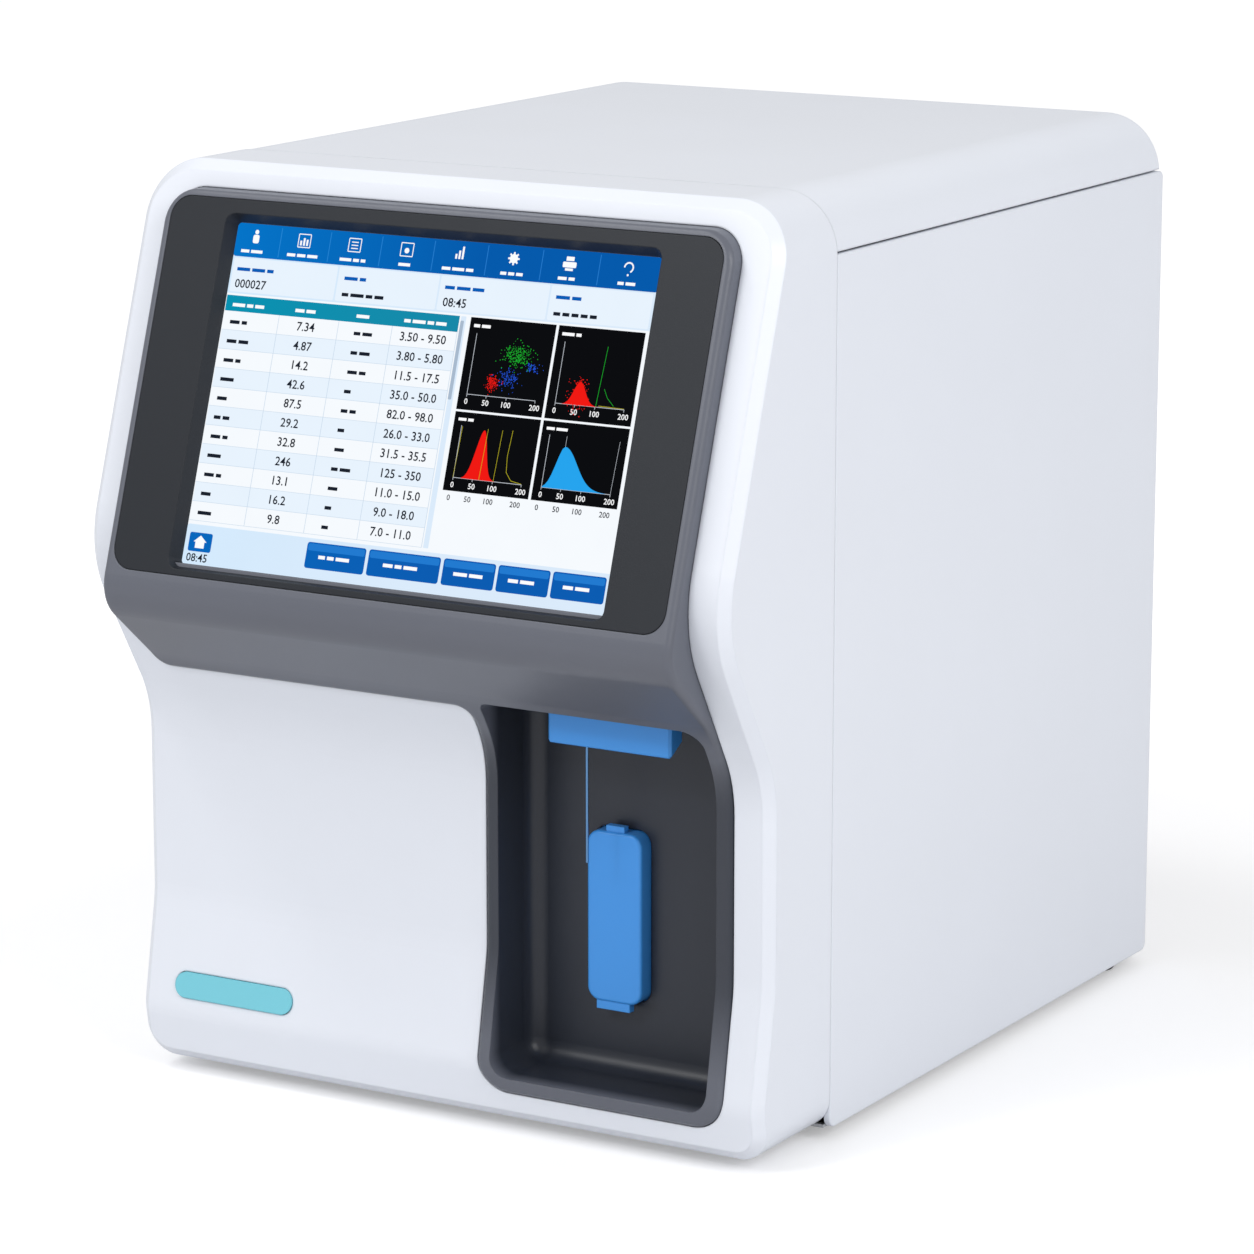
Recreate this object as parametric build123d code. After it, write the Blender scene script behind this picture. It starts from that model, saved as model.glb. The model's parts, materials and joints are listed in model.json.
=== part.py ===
from build123d import *
import math
import os

# Benchtop blood cell analyser. X runs to the viewer's right, Y to the back, Z up.
# While the pieces are drawn, Y is 0 at the seam behind the front cover and Z is 0 on the bench.

# Housing
width = 320.0
body_depth = 325.0
foot_height = 6.0
housing_height = 406.0
shoulder_rise = 26.0
side_height = housing_height - shoulder_rise
shoulder_radius = 27.0
wall = 3.0
seam_gap = 0.8
lap_gap = 0.3
running_gap = 0.05
base = foot_height
top = base + housing_height

# Front cover, its side view given by control points and the radius at each
screen_tilt = 18.5
rim_y = -47.0
rim_height = housing_height - 18.0
crest_radius = 52.0
waist_y = -53.5
waist_height = housing_height - 243.5
waist_radius = 50.0
tuck_run = 44.3
tuck_rise = 73.9
toe_y = -62.5
toe_height = 24.0
toe_radius = 22.0
ankle_height = 74.0
ankle_radius = 60.0
toe_tuck = 7.0
cover_corner = 26.0
cover_foot_corner = 14.0
cover_chamfer = 4.5

# Grey fascia with the screen surround, the chin and the sample bay
fascia_half = width / 2 - 18.0
fascia_top = housing_height - 11.5
fascia_bottom = 13.0
fascia_corner = 15.0
fascia_proud = 8.0
fascia_edge_radius = 3.0
fascia_lip_proud = 1.6
lip_height = housing_height - 221.5
chin_height = housing_height - 185.0
chin_radius = 18.0
fascia_wall = 2.6
flange_width = 5.0

# Sample bay
bay_right = width / 2 - 25.5
bay_left = bay_right - 107.8
bay_bottom = 20.0
bay_top = housing_height - 218.5
bay_back = -27.0
bay_corner = 9.0
bay_floor_radius = 8.0
fascia_left = bay_left - 6.7

# Screen
panel_half = width / 2 - 22.0
panel_bottom = housing_height - 170.7
panel_top = housing_height - 14.0
panel_corner = 10.0
panel_thickness = 3.0
panel_gap = 0.25
lit_border = 32.0
lit_width = 2 * (panel_half - lit_border)
lit_height = 150.0
lit_centre = housing_height - 94.0
lit_depth = 6.3
window_flare = 3.0
window_corner = 2.0
ledge_width = 6.0
glass_thickness = 1.8
glass_border = 7.0
lcd_thickness = 9.0
lcd_border = 9.0
lcd_tray_border = 15.0

# Probe, its guard and the start key
needle_x = bay_right - 66.1
needle_y = -50.0
needle_radius = 0.6
needle_tip = base + bay_top - 69.5
needle_hub_radius = 3.0
guard_left = bay_right - 82.0
guard_right = bay_right - 21.5
guard_front = -56.5
guard_height = 18.2
guard_depth = 11.0
guard_hole = 1.6
key_centre = bay_right - 61.9
key_width = 27.0
key_bottom = 52.5
key_height = 76.0
key_corner = 6.0
key_proud = 8.0
key_travel = 2.5
key_wall = 2.2
key_gap = 0.6
plunger_radius = 1.6
switch_half = 6.5
switch_depth = 9.0
switch_front = bay_back + fascia_wall + lap_gap + key_wall + key_travel + 0.5

# Status light
lens_left = -width / 2 + 19.0
lens_right = lens_left + 63.0
lens_centre = 42.0
lens_height = 11.5
lens_proud = 0.8
lens_depth = 6.0

# Sheet metal inside
sheet = 1.5
tray_flange = 12.0
tongue_half = width / 2 - 20.0
tongue_front = -40.0
divider_x = bay_left - 36.7
frame_x = bay_right - 30.5
deck_height = 84.0
deck_front = 22.0
deck_back = 150.0

# Feet and their screws
foot_radius = 11.0
front_foot = (width / 2 - 34.0, -24.0)
rear_foot = (width / 2 - 18.0, body_depth - 22.0)
foot_bore = 2.4
foot_recess = 4.2

# Lift of the probe
lift_bottom = base + bay_top + 8.5
lift_stroke_height = 150.0
lift_top = lift_bottom + lift_stroke_height
lift_y = -8.0
rod_radius = 3.0
rod_pitch = 15.0
screw_radius = 3.0
carriage_bottom = lift_bottom + 10.0
carriage_height = 24.0
arm_height = 8.0
motor_size = 42.0
motor_height = 34.0
rail_y = 14.0
rail_length = 176.0
rail_height = 12.0
rail_z = lift_top - 52.0

# Rear wall
tray_end = body_depth - 4.0
rear_face = tray_end + lap_gap
rear_screw_x = width / 2 - 10.0
rear_screw_radius = 1.5
fan_size = 80.0
fan_depth = 25.0
fan_x = 0.0
fan_z = housing_height - 96.0
fan_hub = 17.0
fan_shaft = 2.0
inlet_x = -width / 2 + 42.0
inlet_z = 50.0
inlet_flange = (34.0, 26.0)
switch_x = inlet_x + 34.0
switch_flange = (17.0, 24.0)
socket_half_height = 10.0
rocker_throw = 10.0
rocker_y = rear_face - 2.0
port_radius = 5.0
port_left = width / 2 - 100.0
port_pitch = 26.0
port_rise = 30.0
port_bottom = 60.0
vent_left = -width / 2 + 20.0
vent_width = 50.0
vent_bottom = 110.0
vent_count = 9
usb_left = -width / 2 + 26.0
usb_pitch = 19.0
usb_z = housing_height - 156.0
lan_x = -width / 2 + 98.0

# Counting baths and syringe pumps
bath_places = (52.0, 112.0)
bath_radius = 19.0
bath_stem = 5.0
syringe_height = 96.0
syringe_bottom = 150.0
syringe_x = frame_x + sheet + 22.0
syringes = {
    "diluent": {"y": 50.0, "bore": 11.0, "travel": 40.0},
    "sample": {"y": 110.0, "bore": 3.0, "travel": 30.0},
}
glass_wall = 1.5
nut_height = 8.0
syringe_screw = 3.0
screw_offset = 9.0
syringe_motor_z = syringe_bottom - 70.0

# Pumps, power supply and boards
vacuum_pump_y = rear_face - 107.3
waste_pump_y = vacuum_pump_y - 58.0
supply_left = -width / 2 + 10.0
supply_length = 86.0
supply_back = rear_face - 35.3
supply_depth = 116.0
board_standoff = 8.0
board_thickness = 1.6
board_front = 40.0
board_back = 230.0
main_board_z = 210.0
main_board_height = 120.0
driver_board_z = 90.0
driver_board_height = 110.0


def block(x0, x1, y0, y1, z0, z1):
    return Pos((x0 + x1) / 2, (y0 + y1) / 2, (z0 + z1) / 2) * Box(x1 - x0, y1 - y0, z1 - z0)


def upright(radius, x, y, z0, z1):
    return Pos(x, y, (z0 + z1) / 2) * Cylinder(radius, z1 - z0)


def along_y(radius, x, z, y0, y1):
    return Pos(x, (y0 + y1) / 2, z) * Rot(90, 0, 0) * Cylinder(radius, y1 - y0)


def along_x(radius, y, z, x0, x1):
    return Pos((x0 + x1) / 2, y, z) * Rot(0, 90, 0) * Cylinder(radius, x1 - x0)


def filled(points, radii):
    return make_face(FilletPolyline(*points, radius=radii, close=True))


def across(outline, half):
    """Push a side view, drawn as (y, z), out to both sides."""
    return extrude(Plane.YZ.offset(-half) * outline, amount=2 * half)


def forward(outline, y_from, y_to):
    """Push a front view, drawn as (x, z), from y_from towards the viewer at y_to."""
    return extrude(Plane.XZ.offset(-y_from) * outline, amount=y_from - y_to)


def inset(outline, amount):
    return offset(outline, amount=-amount, kind=Kind.ARC)


# Side views of the front cover and of the fascia
tilt = math.radians(screen_tilt)
lean = math.tan(tilt)
beyond = 20.0


def slope_y(height, proud=0.0):
    return rim_y - proud / math.cos(tilt) - lean * (base + rim_height - height)


def crest_point(foot_y, foot_z, run, rise, proud=0.0):
    """Where the tuck under the screen, rising from its foot, meets the tilted screen plane."""
    step = (foot_y - slope_y(foot_z, proud)) / (lean + run / rise)
    return foot_y - step * run / rise, foot_z + step


def cover_profile():
    crest_y, crest_z = crest_point(waist_y, base + waist_height, tuck_run, tuck_rise)
    points = [
        (beyond, base - beyond),
        (toe_y + toe_tuck, base - beyond),
        (toe_y, base + toe_height),
        (waist_y, base + ankle_height),
        (waist_y, base + waist_height),
        (crest_y, crest_z),
        (slope_y(top + beyond), top + beyond),
        (beyond, top + beyond),
    ]
    return filled(points, [0, 0, toe_radius, ankle_radius, waist_radius, crest_radius, 0, 0])


def fascia_profile():
    foot_y = waist_y - fascia_lip_proud
    lip_z = base + lip_height + fascia_lip_proud
    lip_y = foot_y - (lip_z - base - waist_height) * tuck_run / tuck_rise
    crest_z = base + chin_height
    crest_y = slope_y(crest_z, fascia_proud)
    points = [
        (beyond, base - beyond),
        (toe_y + toe_tuck - fascia_lip_proud, base - beyond),
        (toe_y - fascia_lip_proud, base + toe_height),
        (foot_y, base + ankle_height),
        (foot_y, base + waist_height),
        (lip_y, lip_z),
        (crest_y, crest_z),
        (slope_y(top + beyond, fascia_proud), top + beyond),
        (beyond, top + beyond),
    ]
    radii = [0, 0, toe_radius, ankle_radius, waist_radius, waist_radius, chin_radius, 0, 0]
    return filled(points, radii)


def cover_outline():
    half = width / 2
    points = [(-half, base), (half, base), (half, top), (-half, top)]
    return filled(points, [cover_foot_corner, cover_foot_corner, cover_corner, cover_corner])


def fascia_outline():
    points = [
        (fascia_left, base + fascia_bottom),
        (fascia_half, base + fascia_bottom),
        (fascia_half, base + fascia_top),
        (-fascia_half, base + fascia_top),
        (-fascia_half, base + lip_height),
        (fascia_left, base + lip_height),
    ]
    corner = fascia_corner
    return filled(points, [corner, corner, corner, corner, corner / 2, corner / 2])


def bay_outline():
    points = [
        (bay_left, base + bay_bottom),
        (bay_right, base + bay_bottom),
        (bay_right, base + bay_top),
        (bay_left, base + bay_top),
    ]
    return filled(points, [bay_corner, bay_corner, bay_corner, bay_corner / 2])


front_reach = slope_y(base + chin_height, fascia_proud) - 10.0
cover_side = cover_profile()
fascia_side = fascia_profile()

# Screen plane: x to the right, y up the slope, z out towards the viewer
panel_middle = base + (panel_bottom + panel_top) / 2
panel_rise = (panel_top - panel_bottom) / math.cos(tilt)
lit_shift = (base + lit_centre - panel_middle) / math.cos(tilt)
screen_plane = Plane(
    origin=(0, slope_y(panel_middle, fascia_proud), panel_middle),
    x_dir=(1, 0, 0),
    z_dir=(0, -math.cos(tilt), math.sin(tilt)),
)


def on_screen(outline, front, thickness):
    """Extrude an outline of the screen plane backwards, from front below the plane."""
    return extrude(screen_plane.offset(-front - thickness) * outline, amount=thickness)


def front_cover():
    body = across(cover_side, width / 2) & forward(cover_outline(), 0, front_reach)
    rim = [
        edge
        for edge in body.edges()
        if edge.center().Y < -5
        and (
            abs(edge.center().X) > width / 2 - cover_foot_corner
            or abs(edge.center().Z - base - housing_height / 2) > housing_height / 2 - 4
        )
        and abs((edge % 0.5).Y) < 0.999
    ]
    body = chamfer(rim, cover_chamfer)
    inner_side = across(inset(cover_side, wall), width)
    inner = inner_side & forward(inset(cover_outline(), wall), 1, front_reach)
    body -= inner
    body -= forward(inset(fascia_outline(), -panel_gap), 5, front_reach - beyond)
    body -= forward(lens_outline(panel_gap), 5, front_reach - beyond)
    tongue = tongue_half + seam_gap
    body -= block(-tongue, tongue, tongue_front - seam_gap, 5, base - 1, base + wall + 1)
    return body


def fascia():
    back = wall + lap_gap + fascia_wall
    front = across(fascia_side, width) & forward(fascia_outline(), 0, front_reach)
    edges = [e for e in front.edges() if e.center().Y < toe_y / 2 and abs((e % 0.5).Y) < 0.999]
    front = fillet(edges, fascia_edge_radius)
    flange = across(inset(cover_side, wall + lap_gap), width)
    flange &= forward(inset(fascia_outline(), -flange_width), 0, front_reach)
    hollow = across(inset(fascia_side, fascia_wall), width)
    hollow &= forward(inset(fascia_outline(), fascia_wall), 1, front_reach)
    everywhere = Pos(0, top / 2) * Rectangle(2 * width, 2 * top)
    behind = across(inset(cover_side, back), width) & forward(everywhere, 1, front_reach)
    body = front + flange - hollow - behind
    ledge = Rectangle(2 * fascia_half - fascia_wall, panel_rise + 2 * fascia_wall)
    opening = Rectangle(2 * panel_half - 2 * ledge_width, panel_rise - 2 * ledge_width)
    body += on_screen(ledge - opening, panel_thickness, fascia_wall) & front
    tub = forward(inset(bay_outline(), -fascia_wall), bay_back + fascia_wall, front_reach)
    body += tub & across(fascia_side, width)
    pocket = forward(bay_outline(), bay_back, front_reach - beyond)
    floor_edges = [
        e for e in pocket.edges()
        if abs(e.center().Y - bay_back) < 0.1 and e.center().Z < base + bay_top - 1
    ]
    body -= fillet(floor_edges, bay_floor_radius)
    body -= on_screen(panel_outline(0.0), -beyond, beyond + panel_thickness)
    body -= forward(key_outline(key_gap), bay_back + 2 * fascia_wall, bay_back - 1)
    ceiling = base + bay_top
    return body - upright(needle_hub_radius + 1, needle_x, needle_y, ceiling - 1, ceiling + 10)


def panel_outline(gap):
    return RectangleRounded(2 * (panel_half - gap), panel_rise - 2 * gap, panel_corner)


def lens_outline(gap):
    middle = (lens_left + lens_right) / 2
    length = lens_right - lens_left - lens_height
    return Pos(middle, lens_centre) * SlotCenterToCenter(length, lens_height + 2 * gap)


def key_outline(gap):
    shape = RectangleRounded(key_width + 2 * gap, key_height + 2 * gap, key_corner + gap)
    return Pos(key_centre, base + key_bottom + key_height / 2) * shape


# Screen pieces
def screen_bezel():
    plate = on_screen(panel_outline(panel_gap), 0, panel_thickness)
    back_width = 2 * (panel_half - ledge_width - panel_gap)
    back_height = panel_rise - 2 * (ledge_width + panel_gap)
    body = plate + on_screen(Rectangle(back_width, back_height), panel_thickness, lit_depth - panel_thickness)
    middle = Pos(0, lit_shift)
    lit = middle * RectangleRounded(lit_width, lit_height, window_corner)
    flare_corner = window_corner + window_flare
    flare = middle * RectangleRounded(
        lit_width + 2 * window_flare, lit_height + 2 * window_flare, flare_corner)
    window = loft([
        screen_plane.offset(-lit_depth) * lit,
        screen_plane * flare,
    ])
    return body - window - on_screen(lit, lit_depth - 1, 3)


def touch_glass():
    size = Pos(0, lit_shift) * RectangleRounded(
        lit_width + 2 * glass_border, lit_height + glass_border, 2)
    return on_screen(size, lit_depth, glass_thickness)


def lcd_module():
    outline = Pos(0, lit_shift) * RectangleRounded(
        lit_width + 2 * lcd_border, lit_height + lcd_border, 2)
    front = lit_depth + glass_thickness
    body = on_screen(outline, front, lcd_thickness)
    border = 2 * lcd_tray_border
    tray = Pos(0, lit_shift) * Rectangle(lit_width - border, lit_height - border)
    return body - on_screen(tray, front + lcd_thickness - 1.5, 5)


# Pieces of the sample bay
def probe_guard():
    ceiling = base + bay_top
    back = guard_front + guard_depth
    points = [
        (guard_front, ceiling),
        (guard_front, ceiling - guard_height),
        (back, ceiling - guard_height * 0.65),
        (back, ceiling),
    ]
    side = filled(points, [0, 1.5, 2.0, 0])
    bar = extrude(Plane.YZ.offset(guard_left) * side, amount=guard_right - guard_left)
    ends = [e for e in bar.edges() if abs(e.center().Y - guard_front) < 0.1 and abs((e % 0.5).Z) > 0.9]
    bar = chamfer(ends, 1.2)
    return bar - upright(guard_hole, needle_x, needle_y, ceiling - 2 * guard_height, ceiling + 1)


def sample_probe():
    arm_top = carriage_bottom + carriage_height
    hub_bottom = arm_top - arm_height
    start = needle_tip + needle_radius
    needle = upright(needle_radius, needle_x, needle_y, start, hub_bottom)
    needle += Pos(needle_x, needle_y, start) * Sphere(needle_radius)
    needle += upright(needle_hub_radius, needle_x, needle_y, hub_bottom, arm_top + 6)
    return needle + upright(needle_hub_radius + 1.5, needle_x, needle_y, arm_top, arm_top + 3)


def aspirate_key():
    front = bay_back - key_proud
    skirt = bay_back + fascia_wall + lap_gap
    low = base + key_bottom
    high = low + key_height
    body = forward(key_outline(0), skirt + key_wall, front)
    body = fillet([e for e in body.edges() if abs(e.center().Y - front) < 0.1], 1.5)
    body -= forward(key_outline(-key_wall), skirt + key_wall + 1, front + key_wall)
    rim = forward(key_outline(2.0), skirt + key_wall, skirt)
    body += rim - forward(key_outline(-key_wall), skirt + 5, skirt - 5)
    body += block(key_centre - 4.5, key_centre + 4.5, front + 1.4, front + 5, high - 2, high + 2.6)
    body += block(key_centre - 9, key_centre + 7.5, front + 0.8, front + 4.6, low - 3.6, low + 3)
    return body + along_y(3.0, key_centre, (low + high) / 2, front + key_wall / 2, skirt + key_wall)


def key_middle():
    return base + key_bottom + key_height / 2


def key_switch():
    face = switch_front
    half = switch_half
    z = key_middle()
    body = block(key_centre - half, key_centre + half, face, face + switch_depth, z - 10, z + 10)
    return body - along_y(plunger_radius + running_gap, key_centre, z, face - 1, face + 6)


def switch_plunger():
    start = bay_back + fascia_wall + lap_gap + key_wall
    return along_y(plunger_radius, key_centre, key_middle(), start, switch_front + 2.5)


def key_bracket():
    back = switch_front + switch_depth
    z = key_middle()
    plate = block(key_centre - 30, key_centre + 30, back, back + sheet, z - 16, z + 16)
    for side in (-1, 1):
        plate += along_y(3.0, key_centre + side * 26, z, bay_back + fascia_wall, back)
    return plate


def wipe_block():
    seat = base + bay_top + fascia_wall
    body = block(needle_x - 9, needle_x + 9, needle_y - 7, needle_y + 9, seat, seat + 7)
    body += along_y(2.2, needle_x, seat + 4, needle_y + 9, needle_y + 17)
    return body - upright(guard_hole, needle_x, needle_y, seat - 1, seat + 12)


def status_lens():
    face = toe_surface(lens_centre)
    body = forward(lens_outline(0.0), face + lens_depth, front_reach)
    body &= across(offset(cover_side, amount=lens_proud), width)
    lip = forward(lens_outline(2.0), face + lens_depth, front_reach)
    lip &= across(inset(cover_side, wall + lap_gap), width)
    return body + lip


def toe_surface(height):
    return waist_y - (waist_y - toe_y) * (base + ankle_height - height) / (ankle_height - toe_height)


def light_board():
    face = toe_surface(lens_centre) + lens_depth
    z = lens_centre
    return block(lens_left - 2, lens_right + 2, face, face + board_thickness, z - 9, z + 9)


# Covers
def top_cover():
    half = width / 2
    bottom = base + side_height + seam_gap
    low = bottom - 60
    points = [(-half + 1, low), (half - 1, low), (half - 1.4, top), (-half + 1.4, top)]
    outline = filled(points, [0, 0, shoulder_radius, shoulder_radius])
    shell = forward(outline, body_depth, lap_gap)
    shell = chamfer([e for e in shell.edges() if abs(e.center().Y - body_depth) < 0.1], 2.0)
    shell -= forward(inset(outline, wall), body_depth - wall, -5)
    return shell - block(-width, width, -5, body_depth + 5, low - 20, bottom)


def side_panel(side):
    points = [
        (lap_gap, base),
        (body_depth, base),
        (body_depth, base + side_height),
        (lap_gap, base + side_height),
    ]
    body = extrude(Plane.YZ * filled(points, [5, 4, 3, 1]), amount=wall)
    body = fillet([e for e in body.edges() if abs(e.center().X - wall) < 0.01], 0.8)
    for z in (base + 60, base + side_height / 2 + 20, base + side_height - 60):
        body += block(-4, 0.5, 30, body_depth - 30, z, z + 2)
    body += block(-14, 0.5, body_depth - 8, tray_end, base + 20, base + side_height - 10)
    for z in rear_screw_heights():
        screw_x = rear_screw_x - width / 2 + wall
        body -= along_y(rear_screw_radius, screw_x, z, body_depth - 12, body_depth + 5)
    if side < 0:
        body = mirror(body, Plane.YZ)
    return Pos(side * (width / 2 - wall), 0, 0) * body


def base_plate():
    half = width / 2 - wall - lap_gap
    body = block(-half, half, lap_gap, tray_end, base, base + sheet)
    body += block(-tongue_half, tongue_half, tongue_front, lap_gap, base, base + sheet)
    for x in (-half, half - sheet):
        body += block(x, x + sheet, lap_gap + 6, tray_end, base, base + tray_flange)
    body += block(-half, half, tray_end - sheet, tray_end, base, base + tray_flange)
    for x, y in foot_places():
        body -= upright(foot_bore, x, y, base - 1, base + 5)
    for column in range(6):
        x = vent_left + 12 * column
        body -= block(x, x + 3, 120, 160, base - 1, base + 5)
    return body


def foot_places():
    return [(side * x, y) for x, y in (front_foot, rear_foot) for side in (-1, 1)]


def feet():
    profile = [
        (foot_recess, 0),
        (foot_radius - 1, 0),
        (foot_radius, 1.2),
        (foot_radius - 1.5, foot_height),
        (foot_bore, foot_height),
        (foot_bore, foot_height / 2),
        (foot_recess, foot_height / 2),
    ]
    foot = revolve(make_face(Plane.XZ * Polyline(*profile, close=True)), Axis.Z)
    return Compound(children=[Pos(x, y, 0) * foot for x, y in foot_places()])


def foot_screws():
    seat = foot_height / 2
    screw = upright(foot_recess - 0.6, 0, 0, seat - 2, seat)
    screw += upright(foot_bore - 0.5, 0, 0, seat, base + sheet + 3)
    return Compound(children=[Pos(x, y, 0) * screw for x, y in foot_places()])


# Rear wall and what it carries
def rear_screw_heights():
    return (base + 40, base + side_height / 2, base + side_height - 30)


def rear_screw_places():
    return [(side * rear_screw_x, z) for side in (-1, 1) for z in rear_screw_heights()]


def rear_screws():
    front = rear_face + sheet
    screws = [
        along_y(rear_screw_radius * 2, x, z, front, front + 1.8)
        + along_y(rear_screw_radius - 0.1, x, z, front - 7, front)
        for x, z in rear_screw_places()
    ]
    return Compound(children=screws)


def rear_panel():
    half = width / 2 - wall - lap_gap
    front = rear_face
    start = front - 1
    end = front + 5
    body = block(-half, half, front, front + sheet, base + sheet, base + side_height)
    body -= along_y(fan_size / 2 - 3, fan_x, fan_z, start, end)
    for x, socket_half in ((inlet_x, 14), (switch_x, 7)):
        high = socket_half_height + 0.2
        body -= block(x - socket_half, x + socket_half, start, end, inlet_z - high, inlet_z + high)
    for x, z in port_places():
        body -= along_y(port_radius + 0.2, x, z, start, end)
    for row in range(vent_count):
        z = vent_bottom + row * 8
        body -= block(vent_left, vent_left + vent_width, start, end, z, z + 3)
    for x, z in rear_screw_places():
        body -= along_y(rear_screw_radius, x, z, start, end)
    for x in usb_places():
        body -= block(x - 7, x + 7, start, end, usb_z - 4, usb_z + 4)
    return body - block(lan_x - 8.2, lan_x + 8.2, start, end, usb_z - 7, usb_z + 7)


def port_places():
    return [
        (port_left + port_pitch * column, port_bottom + port_rise * row)
        for row in range(2)
        for column in range(3)
    ]


def usb_places():
    return [usb_left + usb_pitch * column for column in range(3)]


def fan_frame():
    half = fan_size / 2
    start = rear_face - fan_depth
    outline = RectangleRounded(fan_size, fan_size, 4)
    body = forward(Pos(fan_x, fan_z) * outline, rear_face, start)
    body -= along_y(half - 2, fan_x, fan_z, start - 1, rear_face + 1)
    body += along_y(fan_hub - 1, fan_x, fan_z, start, start + 3)
    body += along_y(fan_shaft, fan_x, fan_z, start, start + 19)
    for index in range(3):
        strut = block(-2, 2, start, start + 3, 0, half - 1)
        body += Pos(fan_x, 0, fan_z) * Rot(0, 120 * index + 30, 0) * strut
    return body


def fan_rotor():
    start = rear_face - fan_depth + 4
    depth = 17.0
    blade_start = fan_hub - 1
    blade_length = fan_size / 2 - 3.5 - blade_start
    flat = Pos(0, 0, blade_start + blade_length / 2) * Box(1.6, depth - 5, blade_length)
    blade = Pos(0, start + depth / 2, 0) * Rot(0, 0, 38) * flat
    rotor = along_y(fan_hub, 0, 0, start, start + depth)
    for index in range(7):
        rotor += Rot(0, 360 / 7 * index, 0) * blade
    rotor -= along_y(fan_shaft + running_gap, 0, 0, start - 1, start + 15.5)
    return Pos(fan_x, 0, fan_z) * rotor


def fan_guard():
    start = rear_face + sheet
    end = start + 1.4
    guard = block(-44, 44, start, end, -0.9, 0.9) + block(-0.9, 0.9, start, end, -44, 44)
    for radius in (10, 20, 30, 40):
        guard += along_y(radius + 0.8, 0, 0, start, end) - along_y(radius - 0.8, 0, 0, start, end)
    return Pos(fan_x, 0, fan_z) * Rot(0, 45, 0) * guard


def socket_flange(x, size, corner, thickness):
    outline = Pos(x, inlet_z) * RectangleRounded(*size, corner)
    start = rear_face + sheet
    return forward(outline, start + thickness, start)


def power_inlet():
    outer = rear_face + sheet
    half = socket_half_height
    x, z = inlet_x, inlet_z
    body = block(x - 13.8, x + 13.8, rear_face - 22, outer, z - half, z + half)
    body += socket_flange(x, inlet_flange, 3, 2.5)
    body -= block(x - 12, x + 12, rear_face - 15, outer + 3, z - half + 2, z + half - 2)
    for pin_x, pin_z in ((x - 7, z - 2), (x + 7, z - 2), (x, z + 3)):
        body += block(pin_x - 1, pin_x + 1, rear_face - 15.5, rear_face, pin_z - 2.5, pin_z + 2.5)
    return body


def rocker_housing():
    outer = rear_face + sheet
    half = socket_half_height
    x, z = switch_x, inlet_z
    body = block(x - 6.8, x + 6.8, rear_face - 16, outer, z - half, z + half)
    body += socket_flange(x, switch_flange, 2, 1.5)
    body -= along_x(1.2 + running_gap, rocker_y - 1, z, x - 6.1, x + 6.1)
    return body - block(x - 5, x + 5, rear_face - 9, outer + 3, z - half + 1.1, z + half - 1.1)


def power_rocker():
    points = [(-4.5, -7.4), (4.6, -7.8), (2.6, 0), (4.6, 7.8), (-4.5, 7.4)]
    side = filled([(rocker_y + y, inlet_z + z) for y, z in points], [3, 0.8, 12, 0.8, 3])
    body = extrude(Plane.YZ.offset(switch_x - 4.7) * side, amount=9.4)
    body += along_x(1.2, rocker_y - 1, inlet_z, switch_x - 6, switch_x + 6)
    pivot = Axis((switch_x, rocker_y - 1, inlet_z), (1, 0, 0))
    return body.rotate(pivot, -rocker_throw)


def fluid_ports():
    outer = rear_face + sheet
    ports = []
    for x, z in port_places():
        port = along_y(port_radius, x, z, rear_face - 6, outer + 2)
        port += along_y(port_radius + 2, x, z, rear_face - 3, rear_face)
        port += along_y(2.4, x, z, rear_face - 14, outer + 12)
        ports.append(port)
    return Compound(children=ports)


def usb_ports():
    z = usb_z
    ports = []
    for x in usb_places():
        port = block(x - 6.8, x + 6.8, rear_face - 14, rear_face + sheet + 0.4, z - 3.6, z + 3.6)
        port -= block(x - 6, x + 6, rear_face - 8, rear_face + 9, z - 2.6, z + 2.6)
        port += block(x - 5.5, x + 5.5, rear_face - 9, rear_face, z, z + 1.6)
        ports.append(port)
    return Compound(children=ports)


def lan_port():
    x, z = lan_x, usb_z
    body = block(x - 8, x + 8, rear_face - 15, rear_face + sheet + 0.4, z - 6.8, z + 6.8)
    return body - block(x - 6, x + 6, rear_face - 10, rear_face + 9, z - 4.5, z + 4)


# Frames inside
def divider_wall():
    x = divider_x
    floor_z = base + sheet
    back = body_depth - 60
    high = base + housing_height - 66
    body = block(x, x + sheet, 16, back, floor_z, high)
    body += block(x, x + 14, 16, back, floor_z, floor_z + sheet)
    return body - along_x(16, 150, high - 46, x - 5, x + 20)


def side_frame():
    x = frame_x
    floor_z = base + sheet
    body = block(x, x + sheet, 12, 200, floor_z, base + housing_height - 56)
    return body + block(x, x + 12, 12, 200, floor_z, floor_z + sheet)


def fluidics_deck():
    left = divider_x + sheet
    body = block(left, frame_x, deck_front, deck_back, deck_height, deck_height + sheet)
    for y in bath_places:
        body -= upright(bath_stem + 0.3, needle_x, y, deck_height - 5, deck_height + 5)
    for x in (left, frame_x - sheet):
        body += block(x, x + sheet, deck_front, deck_back, deck_height - 10, deck_height)
    return body


def bath(y):
    profile = [
        (0, -22),
        (bath_stem, -22),
        (bath_stem, 0),
        (9, 0),
        (9, 3),
        (bath_radius, 16),
        (bath_radius, 52),
        (bath_radius + 3, 52),
        (bath_radius + 3, 54),
        (bath_radius - 2, 54),
        (bath_radius - 2, 17),
        (2, 5),
        (2, 2),
        (0, 2),
    ]
    body = revolve(make_face(Plane.XZ * Polyline(*profile, close=True)), Axis.Z)
    return Pos(needle_x, y, deck_height + sheet) * body


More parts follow.
